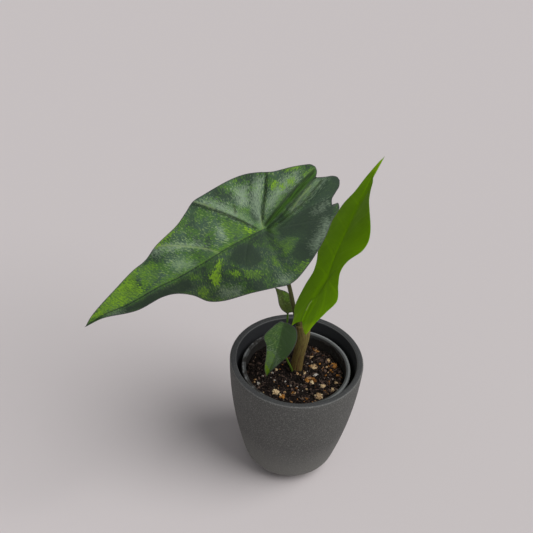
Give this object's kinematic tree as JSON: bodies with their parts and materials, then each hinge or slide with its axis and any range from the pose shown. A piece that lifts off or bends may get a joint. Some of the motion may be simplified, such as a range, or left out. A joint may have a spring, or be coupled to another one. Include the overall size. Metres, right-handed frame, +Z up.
{
  "type": "potted alocasia",
  "caption": "Young mottled alocasia with arrow-shaped leaves in a nursery pot of bark and pumice mix, standing inside a smooth round dark outer pot.",
  "frame": {"origin": "centre of the outer pot's flat base", "axes": "+Z up along the pot's axis, -Y towards the picture's camera, the mottled leaf points to -X"},
  "size_m": [0.2228, 0.1705, 0.292],
  "materials": {
    "pot_outer": "matt dark grey ceramic with a very fine speckle",
    "pot_nursery": "thin grey moulded plastic with a slightly glossy rim",
    "soil": "moist dark bark and peat mix with cream pumice and orange-brown bark chips",
    "stem_sheath": "olive brown leaf sheath, dry and redder near the soil",
    "petiole": "smooth dark olive leaf stalk",
    "blade_mottled": "leathery satin leaf, dark grey-green mottled with mid green and lime",
    "blade_bright": "soft translucent yellow-green young leaf",
    "blade_small": "glossy dark green leaf with a few light flecks"
  },
  "bodies": {
    "root": {"outer_pot": "pot_outer", "nursery_pot": "pot_nursery", "soil": "soil", "stem": "stem_sheath", "petiole_large": "petiole", "petiole_bright": "petiole", "petiole_small_front": "petiole", "petiole_small_back": "petiole", "blade_large": "blade_mottled", "blade_bright": "blade_bright", "blade_small_front": "blade_small", "blade_small_back": "blade_small"}
  },
  "joints": []
}
